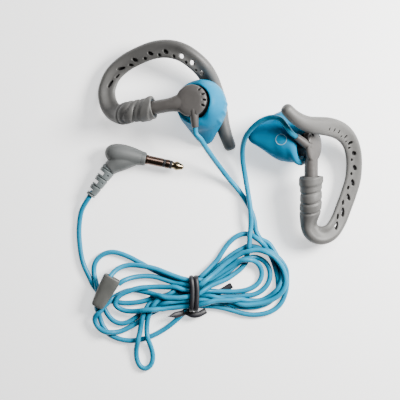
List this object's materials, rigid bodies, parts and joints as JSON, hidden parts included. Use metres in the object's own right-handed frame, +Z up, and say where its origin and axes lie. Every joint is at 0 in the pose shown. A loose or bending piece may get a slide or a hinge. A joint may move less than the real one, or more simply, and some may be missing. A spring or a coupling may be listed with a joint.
{
  "type": "wired sports earphones",
  "caption": "Wired earphones with bendable hooks that go over the ears, soft domed tips, a thin cord folded into a tied hank, a split sleeve and an angled mini jack plug.",
  "frame": {"origin": "on the surface it lies on, under the middle of the two earpieces with their hooks", "axes": "+X right across the two earpieces, +Y along the surface away from the coiled cord, +Z up"},
  "size_m": [0.1107, 0.1277, 0.0303],
  "materials": {
    "hook_rubber": "matte grey elastomer",
    "housing_grey": "satin grey moulding",
    "tip_silicone": "translucent blue silicone",
    "cord_blue": "satin blue cord jacket",
    "plug_grey": "matte grey overmould",
    "contact_metal": "tarnished nickel-plated contacts",
    "black_plastic": "black insulator",
    "tie_black": "ribbed black twist tie",
    "steel": "drawn steel",
    "magnet": "plated magnet",
    "copper": "enamelled winding wire",
    "film": "thin plastic film",
    "board_green": "solder mask",
    "foam": "acoustic cloth"
  },
  "bodies": {
    "earpieces_and_cord": {"left_cap_arm": "housing_grey", "left_housing": "housing_grey", "left_strain_relief": "housing_grey", "left_bud_front": "housing_grey", "left_driver_frame": "black_plastic", "left_voice_coil": "copper", "left_solder_board": "board_green", "left_magnet_cup": "steel", "left_diaphragm": "film", "left_magnet": "magnet", "left_pole_plate": "steel", "left_damping_cloth": "foam", "right_cap_arm": "housing_grey", "right_housing": "housing_grey", "right_strain_relief": "housing_grey", "right_bud_front": "housing_grey", "right_driver_frame": "black_plastic", "right_voice_coil": "copper", "right_solder_board": "board_green", "right_magnet_cup": "steel", "right_diaphragm": "film", "right_magnet": "magnet", "right_pole_plate": "steel", "right_damping_cloth": "foam", "plug_body": "plug_grey", "plug_strain_relief": "plug_grey", "jack_sleeve": "contact_metal", "jack_ring": "contact_metal", "jack_tip": "contact_metal", "jack_insulator_sleeve": "black_plastic", "jack_insulator_ring": "black_plastic", "jack_pin": "contact_metal", "cord_plug_lead": "cord_blue", "cord_left_lead": "cord_blue", "cord_right_lead": "cord_blue", "cord_low_loop": "cord_blue", "cord_hank": "cord_blue", "cord_tie": "tie_black", "cord_split": "plug_grey"},
    "left_bush": {"left_hook_bush": "black_plastic"},
    "left_hook": {"left_ear_hook": "hook_rubber", "left_hook_wire": "steel"},
    "left_tip": {"left_ear_tip": "tip_silicone"},
    "right_bush": {"right_hook_bush": "black_plastic"},
    "right_hook": {"right_ear_hook": "hook_rubber", "right_hook_wire": "steel"},
    "right_tip": {"right_ear_tip": "tip_silicone"}
  },
  "joints": [
    {"name": "left_sleeve_slide", "type": "slide", "parent": "earpieces_and_cord", "child": "left_bush", "axis": [0.954, 0.1511, 0.2588], "range_m": [0, 0.004]},
    {"name": "left_hook_turn", "type": "hinge", "parent": "left_bush", "child": "left_hook", "pos_m": [-0.02904, 0.01237, 0.01639], "axis": [0.954, 0.1511, 0.2588], "range_deg": [0, 60]},
    {"name": "left_tip_twist", "type": "hinge", "parent": "earpieces_and_cord", "child": "left_tip", "pos_m": [-0.00999, 0.01393, 0.01094], "axis": [-0.2749, 0.0974, 0.9565], "range_deg": [-15, 3]},
    {"name": "right_sleeve_slide", "type": "slide", "parent": "earpieces_and_cord", "child": "right_bush", "axis": [0, 0.9945, 0.1045], "range_m": [-0.002, 0.0018]},
    {"name": "right_hook_turn", "type": "hinge", "parent": "right_bush", "child": "right_hook", "pos_m": [0.03053, -0.01325, 0.01146], "axis": [0, 0.9945, 0.1045], "range_deg": [-4, 60]},
    {"name": "right_tip_twist", "type": "hinge", "parent": "earpieces_and_cord", "child": "right_tip", "pos_m": [0.02161, 0.00062, 0.00774], "axis": [0.866, -0.0523, 0.4973], "range_deg": [-15, 6]}
  ]
}
